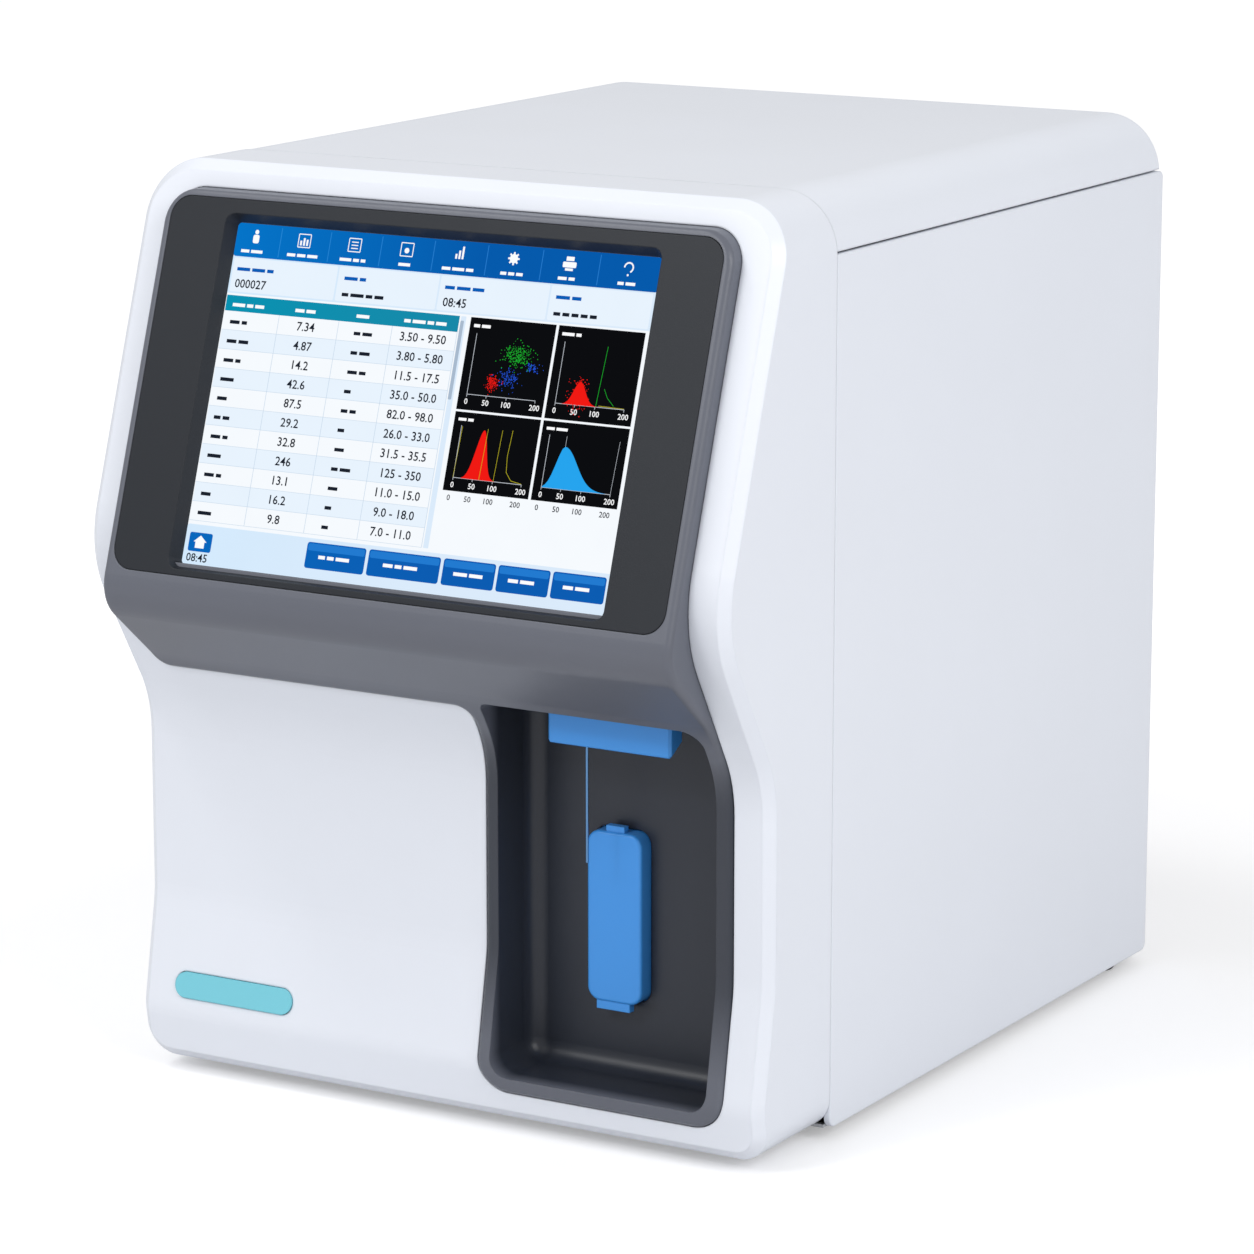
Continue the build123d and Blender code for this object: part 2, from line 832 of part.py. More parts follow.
def hgb_sensor():
    y = bath_places[0] - bath_radius
    z = deck_height + sheet
    x = needle_x + bath_radius + lap_gap
    return block(x, x + 10, y + 10, y + 28, z, z + 44)


def lift_frame():
    y = lift_y + 16
    half = rod_pitch + 12
    left = needle_x - half
    right = needle_x + half
    body = block(left, right, y, y + 3, lift_bottom, lift_top)
    for z in (lift_bottom, lift_top - 4):
        body += block(left, right, lift_y - 12, y + 3, z, z + 4)
    for x in rod_places():
        body -= upright(rod_radius, x, lift_y, lift_bottom - 1, lift_top + 1)
    bore = screw_radius + running_gap
    return body - upright(bore, needle_x, lift_y, lift_bottom - 1, lift_top + 1)


def rod_places():
    return (needle_x - rod_pitch, needle_x + rod_pitch)


def guide_rods():
    rods = [upright(rod_radius, x, lift_y, lift_bottom, lift_top) for x in rod_places()]
    return Compound(children=rods)


def lift_motor():
    outline = RectangleRounded(motor_size, motor_size, 4)
    body = extrude(Pos(needle_x, lift_y, lift_top) * outline, amount=motor_height)
    return body - upright(screw_radius + running_gap, needle_x, lift_y, lift_top - 1, lift_top + 20)


def lift_screw():
    return upright(screw_radius, needle_x, lift_y, lift_bottom + 1, lift_top + 18)


def probe_carriage():
    low = carriage_bottom
    high = low + carriage_height
    half = rod_pitch + 8
    body = block(needle_x - half, needle_x + half, lift_y - 9, lift_y + 9, low, high)
    body += block(needle_x - 6, needle_x + 6, needle_y - 6, lift_y, high - arm_height, high)
    for x in rod_places():
        body -= upright(rod_radius + running_gap, x, lift_y, low - 1, high + 1)
    body -= upright(screw_radius + running_gap, needle_x, lift_y, low - 1, high + 1)
    return body - upright(needle_hub_radius, needle_x, needle_y, low - 1, high + 1)


def traverse_rail():
    return block(frame_x - 9, frame_x, rail_y, rail_y + rail_length, rail_z, rail_z + rail_height)


def traverse_carriage():
    y = lift_y + 19
    high = rail_z + rail_height
    left = needle_x + rod_pitch
    side = frame_x - 9 - lap_gap
    body = block(left, side, y, y + 40, rail_z - 8, high + 8)
    return body + block(side, frame_x - 2, y + 6, y + 40, high + lap_gap, high + 8)


def traverse_motor():
    y = rail_y + rail_length - 40
    z = rail_z + rail_height + 10
    right = frame_x - lap_gap
    return block(right - motor_size, right, y, y + motor_height, z, z + motor_size)


# Syringe pumps on the outer face of the side frame
def syringe_block():
    x = frame_x + sheet
    head = syringe_bottom + syringe_height
    body = block(x, x + 4, 24, 140, syringe_motor_z, head + 12)
    for size in syringes.values():
        y = size["y"]
        body += block(x, syringe_x + 14, y - 16, y + 16, head, head + 12)
        clamp = block(x, syringe_x + 14, y - 16, y + 16, syringe_bottom, syringe_bottom + 6)
        bore = size["bore"] + glass_wall
        body += clamp - upright(bore, syringe_x, y, syringe_bottom - 5, head - 5)
        body -= upright(1.2, syringe_x, y, head - 5, head + 20)
    return body


def syringe_barrel(size):
    y = size["y"]
    head = syringe_bottom + syringe_height
    body = upright(size["bore"] + glass_wall, syringe_x, y, syringe_bottom, head)
    return body - upright(size["bore"], syringe_x, y, syringe_bottom - 1, head - 2)


def syringe_plunger(size):
    y = size["y"]
    bore = size["bore"]
    low = syringe_bottom - 46
    seal = syringe_bottom + syringe_height - 2 - size["travel"] - 4
    body = upright(bore - running_gap, syringe_x, y, seal - 8, seal)
    body += upright(min(bore - 1, 4.0), syringe_x, y, low, seal - 4)
    nut = block(syringe_x - 10, syringe_x + 10, y - 14, y + 7, low - nut_height, low)
    hole = upright(syringe_screw + running_gap, syringe_x, y - screw_offset, low - 20, low + 5)
    return body + nut - hole


def syringe_motor(size):
    y = size["y"] - screw_offset
    z = syringe_motor_z
    body = block(syringe_x - 15, syringe_x + 15, y - 15, y + 15, z - 26, z)
    return body - upright(syringe_screw + running_gap, syringe_x, y, z - 12, z + 1)


def syringe_drive_screw(size):
    y = size["y"] - screw_offset
    return upright(syringe_screw, syringe_x, y, syringe_motor_z - 10, syringe_bottom - 1)


# Valves, pumps and chambers
def valve_manifold():
    x = frame_x + sheet
    return block(x, x + 12, 150, 196, 90, 250)


def solenoid_valves():
    x = frame_x + sheet + 12
    valves = []
    for row in range(6):
        z = 103 + 26 * row
        valves.append(block(x, x + 8, 160, 186, z - 9, z + 9) + along_x(8, 173, z, x, x + 28))
    return Compound(children=valves)


def waste_chamber():
    x = needle_x
    y = (bath_places[0] + bath_places[1]) / 2
    z = base + sheet
    body = upright(19, x, y, z, z + 60) + upright(21, x, y, z + 56, z + 60)
    return body + upright(3, x, y, z + 60, z + 66)


def vacuum_pump():
    x = divider_x
    y = vacuum_pump_y
    z = base + sheet
    body = block(x + 30, x + 100, y, y + 48, z, z + 4)
    body += along_x(20, y + 24, z + 23, x + 52, x + 102)
    body += block(x + 26, x + 54, y + 2, y + 46, z + 2, z + 48)
    return body + along_x(3, y + 24, z + 40, x + 18, x + 28)


def waste_pump():
    x = divider_x
    y = waste_pump_y
    z = base + sheet
    body = block(x + 30, x + 94, y, y + 40, z, z + 4)
    body += along_x(16, y + 20, z + 19, x + 50, x + 94)
    return body + block(x + 28, x + 52, y + 2, y + 38, z + 2, z + 40)


def power_supply():
    z = base + sheet
    left = supply_left
    right = left + supply_length
    front = supply_back - supply_depth
    body = block(left, right, front, supply_back, z + 3, z + 48)
    for x in (left + 6, right - 6):
        for y in (front + 6, supply_back - 6):
            body += upright(3, x, y, z, z + 4)
    for column in range(7):
        x = left + 10 + 9 * column
        body -= block(x, x + 3, front + 30, supply_back - 30, z + 47, z + 50)
    return body


def board(z, height, chips):
    """A circuit board on the divider, with chips given by y, z, their size and their thickness."""
    back = divider_x - board_standoff
    face = back - board_thickness
    body = block(face, back, board_front, board_back, z, z + height)
    for chip_y, chip_z, depth, rise, thick in chips:
        y = board_front + chip_y
        low = z + chip_z
        body += block(face - thick, face, y, y + depth, low, low + rise)
    return body


def main_board():
    chips = [
        (80, 40, 30, 30, 3),
        (130, 50, 18, 14, 2),
        (20, 30, 24, 18, 2),
        (10, 80, 10, 35, 9),
        (160, 20, 12, 60, 9),
        (70, 100, 50, 8, 7),
    ]
    return board(main_board_z, main_board_height, chips)


def driver_board():
    chips = [(20 + 24 * n, 30, 14, 14, 4) for n in range(6)]
    chips += [(20 + 24 * n, 90, 16, 8, 9) for n in range(6)]
    return board(driver_board_z, driver_board_height, chips)


def standoffs():
    studs = []
    for bottom, height in ((driver_board_z, driver_board_height), (main_board_z, main_board_height)):
        for y in (board_front + 6, board_back - 6):
            for z in (bottom + 6, bottom + height - 6):
                studs.append(along_x(2.5, y, z, divider_x - board_standoff, divider_x))
    return Compound(children=studs)


# Pieces, by node name
pieces = {
    "front_cover": front_cover(),
    "fascia": fascia(),
    "screen_bezel": screen_bezel(),
    "touch_glass": touch_glass(),
    "lcd_module": lcd_module(),
    "probe_guard": probe_guard(),
    "sample_probe": sample_probe(),
    "aspirate_key": aspirate_key(),
    "key_switch": key_switch(),
    "switch_plunger": switch_plunger(),
    "key_bracket": key_bracket(),
    "wipe_block": wipe_block(),
    "status_lens": status_lens(),
    "light_board": light_board(),
    "top_cover": top_cover(),
    "left_side_panel": side_panel(-1),
    "right_side_panel": side_panel(1),
    "base_plate": base_plate(),
    "feet": feet(),
    "foot_screws": foot_screws(),
    "rear_screws": rear_screws(),
    "rear_panel": rear_panel(),
    "fan_frame": fan_frame(),
    "fan_rotor": fan_rotor(),
    "fan_guard": fan_guard(),
    "power_inlet": power_inlet(),
    "rocker_housing": rocker_housing(),
    "power_rocker": power_rocker(),
    "fluid_ports": fluid_ports(),
    "usb_ports": usb_ports(),
    "lan_port": lan_port(),
    "divider_wall": divider_wall(),
    "side_frame": side_frame(),
    "fluidics_deck": fluidics_deck(),
    "count_baths": Compound(children=[bath(y) for y in bath_places]),
    "hgb_sensor": hgb_sensor(),
    "lift_frame": lift_frame(),
    "guide_rods": guide_rods(),
    "stepper_motors": Compound(children=[lift_motor(), traverse_motor()]),
    "lift_screw": lift_screw(),
    "probe_carriage": probe_carriage(),
    "traverse_rail": traverse_rail(),
    "traverse_carriage": traverse_carriage(),
    "syringe_block": syringe_block(),
    "valve_manifold": valve_manifold(),
    "solenoid_valves": solenoid_valves(),
    "waste_chamber": waste_chamber(),
    "vacuum_pump": vacuum_pump(),
    "waste_pump": waste_pump(),
    "power_supply": power_supply(),
    "main_board": main_board(),
    "driver_board": driver_board(),
    "board_standoffs": standoffs(),
}
pieces["syringe_motors"] = Compound(children=[syringe_motor(size) for size in syringes.values()])
for label, size in syringes.items():
    pieces[f"{label}_syringe_barrel"] = syringe_barrel(size)
    pieces[f"{label}_syringe_plunger"] = syringe_plunger(size)
    pieces[f"{label}_drive_screw"] = syringe_drive_screw(size)

# The origin is the middle of the footprint, on the bench
boxes = [piece.bounding_box() for piece in pieces.values()]
middle_y = (min(box.min.Y for box in boxes) + max(box.max.Y for box in boxes)) / 2

os.makedirs("parts", exist_ok=True)
for name, piece in pieces.items():
    export_step(Pos(0, -middle_y, 0) * piece, f"parts/{name}.step")
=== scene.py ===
import bmesh
import bpy
import json
import math
import random
from mathutils import Matrix, Vector


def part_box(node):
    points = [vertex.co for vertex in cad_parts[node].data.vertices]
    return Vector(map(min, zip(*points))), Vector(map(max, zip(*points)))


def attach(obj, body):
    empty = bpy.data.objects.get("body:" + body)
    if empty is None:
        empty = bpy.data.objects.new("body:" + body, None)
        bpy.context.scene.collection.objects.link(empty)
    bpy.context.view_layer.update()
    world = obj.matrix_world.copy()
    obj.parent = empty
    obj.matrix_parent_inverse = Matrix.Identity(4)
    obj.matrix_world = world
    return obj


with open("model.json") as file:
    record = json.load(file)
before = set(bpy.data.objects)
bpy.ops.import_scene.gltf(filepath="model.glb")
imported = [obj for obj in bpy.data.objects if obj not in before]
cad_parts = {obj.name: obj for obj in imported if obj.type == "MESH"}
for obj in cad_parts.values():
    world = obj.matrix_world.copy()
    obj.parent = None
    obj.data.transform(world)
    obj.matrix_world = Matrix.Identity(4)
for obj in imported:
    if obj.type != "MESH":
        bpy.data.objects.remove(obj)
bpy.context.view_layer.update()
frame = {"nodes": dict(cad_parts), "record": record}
nodes = frame["nodes"]
scene = bpy.context.scene
scene.view_settings.view_transform = "Standard"

# Places read from the frame
cover_low, cover_high = (Vector(corner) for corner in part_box("front_cover"))
seam_y = cover_high.y
housing_bottom = cover_low.z
bay_rim_y = seam_y - 0.0600
bay_ceiling = housing_bottom + 0.1880

# Camera, placed from the seam behind the front cover and the underside of the housing
camera_offset = Vector((1.1159, -1.7956, 0.6695))
camera_azimuth = math.radians(30.49)
camera_elevation = math.radians(12.42)
camera_lens = 141.7


def add_camera():
    data = bpy.data.cameras.new("camera")
    data.lens = camera_lens
    data.sensor_width = 36.0
    camera = bpy.data.objects.new("camera", data)
    camera.location = Vector((0, seam_y, housing_bottom)) + camera_offset
    camera.rotation_euler = (math.pi / 2 - camera_elevation, 0, camera_azimuth)
    scene.collection.objects.link(camera)
    scene.camera = camera


# Materials
plastic_relief = 0.0002
metal_relief = 0.0001
metal_edge = 0.0003


def node_material(name):
    material = bpy.data.materials.new(name)
    material.use_nodes = True
    tree = material.node_tree
    tree.nodes.clear()
    output = tree.nodes.new("ShaderNodeOutputMaterial")
    shader = tree.nodes.new("ShaderNodeBsdfPrincipled")
    tree.links.new(shader.outputs[0], output.inputs[0])
    return material, tree, shader


def noise(tree, scale, detail=3.0, rough=0.5):
    coords = tree.nodes.new("ShaderNodeTexCoord")
    texture = tree.nodes.new("ShaderNodeTexNoise")
    texture.inputs["Scale"].default_value = scale
    texture.inputs["Detail"].default_value = detail
    texture.inputs["Roughness"].default_value = rough
    tree.links.new(coords.outputs["Object"], texture.inputs["Vector"])
    return texture.outputs["Fac"]


def spread(tree, value, low, high):
    """A value from 0 to 1, carried over to the range from low to high."""
    span = tree.nodes.new("ShaderNodeMapRange")
    span.inputs["To Min"].default_value = low
    span.inputs["To Max"].default_value = high
    tree.links.new(value, span.inputs["Value"])
    return span.outputs["Result"]


def ramp(tree, value, start, end):
    """0 up to the start and 1 from the end on, rising evenly in between."""
    node = tree.nodes.new("ShaderNodeMapRange")
    node.inputs["From Min"].default_value = start
    node.inputs["From Max"].default_value = end
    tree.links.new(value, node.inputs["Value"])
    return node.outputs["Result"]


def product(tree, first, second):
    node = tree.nodes.new("ShaderNodeMath")
    node.operation = "MULTIPLY"
    tree.links.new(first, node.inputs[0])
    tree.links.new(second, node.inputs[1])
    return node.outputs[0]


def object_axes(tree):
    coords = tree.nodes.new("ShaderNodeTexCoord")
    axes = tree.nodes.new("ShaderNodeSeparateXYZ")
    tree.links.new(coords.outputs["Object"], axes.inputs[0])
    return axes.outputs


def blend(tree, value, first, second):
    """The first colour where the value is 0 and the second where it is 1."""
    mix = tree.nodes.new("ShaderNodeMix")
    mix.data_type = "RGBA"
    tree.links.new(value, mix.inputs["Factor"])
    tree.links.new(first, mix.inputs["A"])
    tree.links.new(second, mix.inputs["B"])
    return mix.outputs["Result"]


def mottled(tree, color, value, amount):
    """The colour, a little lighter and darker from place to place."""
    mix = tree.nodes.new("ShaderNodeMix")
    mix.data_type = "RGBA"
    mix.inputs["A"].default_value = [c * (1 - amount) for c in color] + [1]
    mix.inputs["B"].default_value = [min(1.0, c * (1 + amount)) for c in color] + [1]
    tree.links.new(value, mix.inputs["Factor"])
    return mix.outputs["Result"]


def bump(tree, shader, height, strength, distance, edge):
    """Fine relief, with the edges rounded by the given radius."""
    node = tree.nodes.new("ShaderNodeBump")
    bevel = tree.nodes.new("ShaderNodeBevel")
    bevel.samples = 4
    bevel.inputs["Radius"].default_value = edge
    tree.links.new(bevel.outputs["Normal"], node.inputs["Normal"])
    node.inputs["Strength"].default_value = strength
    node.inputs["Distance"].default_value = distance
    tree.links.new(height, node.inputs["Height"])
    tree.links.new(node.outputs[0], shader.inputs["Normal"])


def plastic(
    name, color, roughness, grain=2600.0, grain_depth=0.12, mottle=0.02, coat=0.0, edge=0.0007, shine=0.5
):
    """Moulded plastic with a fine grain, slightly uneven in colour and gloss."""
    material, tree, shader = node_material(name)
    cloud = noise(tree, 14.0)
    fine = noise(tree, grain, 2.0)
    tree.links.new(mottled(tree, color, cloud, mottle), shader.inputs["Base Color"])
    tree.links.new(spread(tree, cloud, roughness - 0.04, roughness + 0.05), shader.inputs["Roughness"])
    shader.inputs["Specular IOR Level"].default_value = shine
    shader.inputs["Coat Weight"].default_value = coat
    shader.inputs["Coat Roughness"].default_value = 0.2
    bump(tree, shader, fine, grain_depth, plastic_relief, edge)
    return material


def bay_shaded_plastic(name, color, bay_shade_color, roughness):
    """Moulded plastic with painted shade: darker inside the sample bay, behind its rim and below its
    ceiling, where the recess lies in shade.
    """
    material, tree, shader = node_material(name)
    cloud = noise(tree, 14.0)
    fine = noise(tree, 2200.0, 2.0)
    axes = object_axes(tree)
    behind = ramp(tree, axes["Y"], bay_rim_y - 0.002, bay_rim_y + 0.006)
    below = ramp(tree, axes["Z"], bay_ceiling + 0.002, bay_ceiling - 0.004)
    # Mask of the painted shade: 1 inside the sample bay, where the darker colour stands for the shade of
    # the recess
    inside = product(tree, behind, below)
    outer = mottled(tree, color, cloud, 0.02)
    bay_shade = mottled(tree, bay_shade_color, cloud, 0.03)
    tree.links.new(blend(tree, inside, outer, bay_shade), shader.inputs["Base Color"])
    tree.links.new(spread(tree, cloud, roughness - 0.03, roughness + 0.04), shader.inputs["Roughness"])
    bump(tree, shader, fine, 0.2, plastic_relief, 0.0009)
    return material


def metal(name, color, roughness, metallic=1.0):
    """Drawn metal, streaked along its length."""
    material, tree, shader = node_material(name)
    coords = tree.nodes.new("ShaderNodeTexCoord")
    mapping = tree.nodes.new("ShaderNodeMapping")
    mapping.inputs["Scale"].default_value = (1, 1, 12)
    texture = tree.nodes.new("ShaderNodeTexNoise")
    texture.inputs["Scale"].default_value = 300.0
    tree.links.new(coords.outputs["Object"], mapping.inputs["Vector"])
    tree.links.new(mapping.outputs[0], texture.inputs["Vector"])
    streaks = texture.outputs["Fac"]
    shader.inputs["Metallic"].default_value = metallic
    tree.links.new(mottled(tree, color, streaks, 0.05), shader.inputs["Base Color"])
    tree.links.new(spread(tree, streaks, roughness - 0.06, roughness + 0.08), shader.inputs["Roughness"])
    bump(tree, shader, streaks, 0.08, metal_relief, metal_edge)
    return material


def clear(name, color, roughness):
    material, tree, shader = node_material(name)
    cloud = noise(tree, 30.0)
    tree.links.new(mottled(tree, color, cloud, 0.03), shader.inputs["Base Color"])
    tree.links.new(spread(tree, cloud, roughness, roughness + 0.08), shader.inputs["Roughness"])
    shader.inputs["Transmission Weight"].default_value = 0.7
    return material


def glow(name, color, left_color):
    """A lit spot of the display: it gives off its colour and reflects nothing."""
    material, tree, shader = node_material(name)
    cloud = noise(tree, 60.0)
    to_middle = ramp(tree, object_axes(tree)["X"], -screen_width / 2, fade_end)
    left = mottled(tree, left_color, cloud, 0.015)
    middle = mottled(tree, color, cloud, 0.015)
    tree.links.new(blend(tree, to_middle, left, middle), shader.inputs["Emission Color"])
    shader.inputs["Base Color"].default_value = (0.0, 0.0, 0.0, 1)
    shader.inputs["Emission Strength"].default_value = 1.0
    shader.inputs["Roughness"].default_value = 0.35
    shader.inputs["Specular IOR Level"].default_value = 0.0
    return material


materials = {
    "white_plastic": plastic(
        "white_plastic", (0.790, 0.822, 0.893), 0.34, mottle=0.012, coat=0.15, edge=0.0012
    ),
    "grey_plastic": plastic("grey_plastic", (0.105, 0.108, 0.125), 0.42, grain=2200, grain_depth=0.2),
    "dark_plastic": plastic(
        "dark_plastic", (0.014, 0.017, 0.023), 0.42, grain=2400, grain_depth=0.2, shine=0.3
    ),
    "blue_plastic": plastic("blue_plastic", (0.050, 0.310, 0.820), 0.32, grain_depth=0.08),
    "teal_lens": plastic("teal_lens", (0.190, 0.600, 0.710), 0.25, grain_depth=0.04),
    "display": plastic("display", (0.02, 0.02, 0.022), 0.12, grain_depth=0.02),
    "steel_sheet": metal("steel_sheet", (0.62, 0.63, 0.64), 0.42, metallic=0.9),
    "stainless": metal("stainless", (0.62, 0.63, 0.65), 0.25),
    "aluminium": metal("aluminium", (0.70, 0.70, 0.72), 0.38),
    "black_plastic": plastic("black_plastic", (0.022, 0.022, 0.024), 0.45, grain_depth=0.2),
    "rubber": plastic("rubber", (0.030, 0.030, 0.033), 0.75, grain=900, grain_depth=0.4, mottle=0.15),
    "clear_plastic": clear("clear_plastic", (0.85, 0.9, 0.92), 0.15),
    "pcb": plastic("pcb", (0.03, 0.20, 0.09), 0.4, grain=500, grain_depth=0.2, mottle=0.1),
    "brass": metal("brass", (0.70, 0.52, 0.22), 0.3),
    "motor_steel": metal("motor_steel", (0.10, 0.10, 0.11), 0.4),
}


def dress(name, material):
    slots = nodes[name].data.materials
    slots.clear()
    slots.append(material)


def dress_nodes():
    for part in frame["record"]["subparts"]:
        dress(part["node"], materials[part["material_slot"]])
    special = {
        # Painted reflection: the needle's steel is tinted blue for the blue parts it reflects, and is
        # darker than the other steel
        "sample_probe": metal("needle_steel_blue_reflection", (0.16, 0.34, 0.62), 0.3),
        # The fascia gets painted shade: the inside of its sample bay is drawn darker than its rim
        "fascia": bay_shaded_plastic("fascia_grey_painted_bay_shade", (0.119, 0.128, 0.158), (0.023, 0.028, 0.041), 0.36),
    }
    for name, material in special.items():
        dress(name, material)


# Picture on the screen, drawn on the front of the touch glass, in metres
screen_width = 0.212
screen_height = 0.150
screen_tilt = math.radians(18.5)
glass_thickness = 0.0018
layer_step = 0.00004
fade_end = 0.020
value_size = 0.0054
scale_size = 0.0034
axis_line = 0.00026
curve_line = 0.00022
thin_line = 0.00020
mark_line = 0.00016
frame_line = 0.00042

# Places on the screen: u runs from left to right and v from top to bottom, both from 0 to 1
header_bottom = 0.098
fields_bottom = 0.206
table_top = 0.212
rows_top = 0.258
row_height = 0.0558
table_right = 0.563
foot_top = 0.882
word_height = 0.025

# Colours of the screen's layers, from the lowest to the highest
screen_colors = {
    "paper": (246, 250, 255),
    "pale": (219, 235, 251),
    "band": (232, 243, 254),
    "bar": (5, 90, 172),
    "bar_line": (40, 126, 208),
    "teal": (24, 136, 168),
    "button": (12, 92, 178),
    "button_light": (34, 122, 208),
    "rule": (196, 214, 232),
    "tile": (12, 13, 16),
    "blue_text": (8, 92, 182),
    "dark_text": (26, 32, 44),
    "white": (252, 253, 255),
    "axis": (190, 196, 204),
    "red": (240, 26, 20),
    "green": (30, 176, 48),
    "blue": (36, 84, 214),
    "cyan": (38, 164, 238),
    "yellow": (186, 178, 40),
    "scroll": (168, 186, 206),
}
# Colours that some layers fade to at the left edge
screen_left_colors = {
    "bar": (4, 116, 200),
    "bar_line": (40, 140, 216),
    "teal": (8, 146, 178),
    "button": (8, 104, 190),
    "pale": (212, 234, 253),
}
screen_order = list(screen_colors)
screen_meshes = {name: bmesh.new() for name in screen_colors}


def linear(color):
    """A colour given in steps from 0 to 255, as linear light."""
    return [((c / 255 + 0.055) / 1.055) ** 2.4 for c in color]


def on_layer(layer, u, v):
    """A place on the screen in metres, lifted to the height of its layer."""
    height = layer_step * (1 + screen_order.index(layer))
    return ((u - 0.5) * screen_width, (0.5 - v) * screen_height, height)


def patch(layer, corners):
    """A flat face through the corners."""
    mesh = screen_meshes[layer]
    mesh.faces.new([mesh.verts.new(on_layer(layer, u, v)) for u, v in reversed(corners)])


def plate(layer, u0, v0, u1, v1, corner=0.0):
    """A rectangle with its corners rounded by the given radius in metres."""
    if corner == 0.0:
        patch(layer, [(u0, v0), (u1, v0), (u1, v1), (u0, v1)])
        return
    ru = corner / screen_width
    rv = corner / screen_height
    corners = []
    for centre_u, centre_v, start in (
        (u1 - ru, v0 + rv, 270), (u1 - ru, v1 - rv, 0), (u0 + ru, v1 - rv, 90), (u0 + ru, v0 + rv, 180)
    ):
        for step in range(5):
            angle = math.radians(start + 22.5 * step)
            corners.append((centre_u + ru * math.cos(angle), centre_v + rv * math.sin(angle)))
    patch(layer, corners)


def disc(layer, u, v, radius, sides=14):
    angles = [2 * math.pi * side / sides for side in range(sides)]
    patch(layer, [
        (u + radius * math.cos(a) / screen_width, v + radius * math.sin(a) / screen_height) for a in angles
    ])


def stroke(layer, points, thickness):
    """A line through the points, as one patch for each run."""
    for (u0, v0), (u1, v1) in zip(points, points[1:]):
        run = Vector(((u1 - u0) * screen_width, (v1 - v0) * screen_height))
        side = Vector((-run.y, run.x)).normalized() * thickness / 2
        du = side.x / screen_width
        dv = side.y / screen_height
        patch(layer, [(u0 - du, v0 - dv), (u1 - du, v1 - dv), (u1 + du, v1 + dv), (u0 + du, v0 + dv)])


def greeked(layer, u, v, width, height, chance):
    """Words too small to read, drawn as a row of short bars."""
    unit = height * screen_height / screen_width
    middle = v + height * 0.15
    place = u
    while place + unit * 0.7 < u + width:
        end = min(u + width, place + unit * chance.choice((0.9, 1.3, 1.8)))
        stroke(layer, [(place, middle), (end, middle)], height * screen_height * 0.40)
        place = end + unit * 0.28


def digits(layer, text, u, v, size, align="CENTER"):
    """Plain numbers as flat outlines."""
    curve = bpy.data.curves.new("digits", "FONT")
    curve.body = text
    curve.size = size
    curve.offset = size * 0.012
    curve.resolution_u = 2
    curve.align_x = align
    curve.align_y = "CENTER"
    holder = bpy.data.objects.new("digits", curve)
    mesh = bpy.data.meshes.new_from_object(holder)
    mesh.transform(Matrix.Translation(on_layer(layer, u, v)))
    screen_meshes[layer].from_mesh(mesh)
    bpy.data.objects.remove(holder)
    bpy.data.meshes.remove(mesh)


def draw_header(chance):
    plate("bar", 0, 0, 1, header_bottom, 0.001)
    centres = (0.050, 0.168, 0.290, 0.415, 0.540, 0.666, 0.795, 0.929)
    for left, right in zip(centres, centres[1:]):
        middle = (left + right) / 2
        plate("bar_line", middle - 0.0008, 0.006, middle + 0.0008, 0.092)
    for u, width in zip(centres, (0.064, 0.074, 0.062, 0.030, 0.074, 0.052, 0.044, 0.040)):
        greeked("white", u - width / 2, 0.078, width, 0.022, chance)
    draw_icons(centres)


def draw_icons(centres):
    """Small signs over the words of the header: bars, lists, a cog, a printer and so on."""
    v = 0.038
    u = centres[0]
    disc("white", u, v - 0.014, 0.0010)
    plate("white", u - 0.0075, v - 0.006, u + 0.0075, v + 0.019, 0.0009)
    for u in (centres[1], centres[2], centres[3]):
        left, right, top, bottom = u - 0.0145, u + 0.0145, v - 0.019, v + 0.019
        outline = [(left, top), (right, top), (right, bottom), (left, bottom), (left, top)]
        stroke("white", outline, frame_line)
    for u, heights in ((centres[1], (0.014, 0.022, 0.018)), (centres[4], (0.014, 0.024, 0.036))):
        for column, height in enumerate(heights):
            left = u - 0.010 + column * 0.0075
            plate("white", left, v + 0.014 - height, left + 0.0045, v + 0.014)
    for row in range(3):
        top = v - 0.010 + row * 0.009
        plate("white", centres[2] - 0.008, top, centres[2] + 0.008, top + 0.003)
    disc("white", centres[3], v + 0.003, 0.0012)
    u = centres[5]
    for tooth in range(8):
        angle = math.pi / 4 * tooth
        tip = (u + 0.0028 * math.cos(angle) / screen_width, v + 0.0028 * math.sin(angle) / screen_height)
        stroke("white", [(u, v), tip], 0.0008)
    disc("white", u, v, 0.0020)
    disc("bar_line", u, v, 0.0009)
    u = centres[6]
    plate("white", u - 0.0155, v - 0.004, u + 0.0155, v + 0.012, 0.0005)
    plate("white", u - 0.009, v - 0.019, u + 0.009, v - 0.007)
    plate("white", u - 0.009, v + 0.014, u + 0.009, v + 0.021)
    u = centres[7]
    ring = [
        (u + 0.0021 * math.cos(a) / screen_width, v - 0.002 + 0.0021 * math.sin(a) / screen_height)
        for a in [math.pi * (1.0 + 0.15 * step) for step in range(10)]
    ]
    stroke("white", ring, 0.0007)
    disc("white", u, v + 0.019, 0.0005, 8)


def draw_fields(chance):
    plate("pale", 0, header_bottom, 1, fields_bottom)
    edges = (0.004, 0.262, 0.505, 0.762, 0.996)
    for left, right in zip(edges, edges[1:]):
        plate("band", left, 0.102, right - 0.004, 0.201, 0.0008)
    for u, width in ((0.016, 0.092), (0.278, 0.052), (0.518, 0.092), (0.776, 0.058)):
        greeked("blue_text", u, 0.131, width, word_height, chance)
    line = 0.178
    digits("dark_text", "000027", 0.016, line, value_size, "LEFT")
    greeked("dark_text", 0.278, line, 0.100, word_height, chance)
    digits("dark_text", "08:45", 0.518, line, value_size, "LEFT")
    greeked("dark_text", 0.776, line, 0.104, word_height, chance)


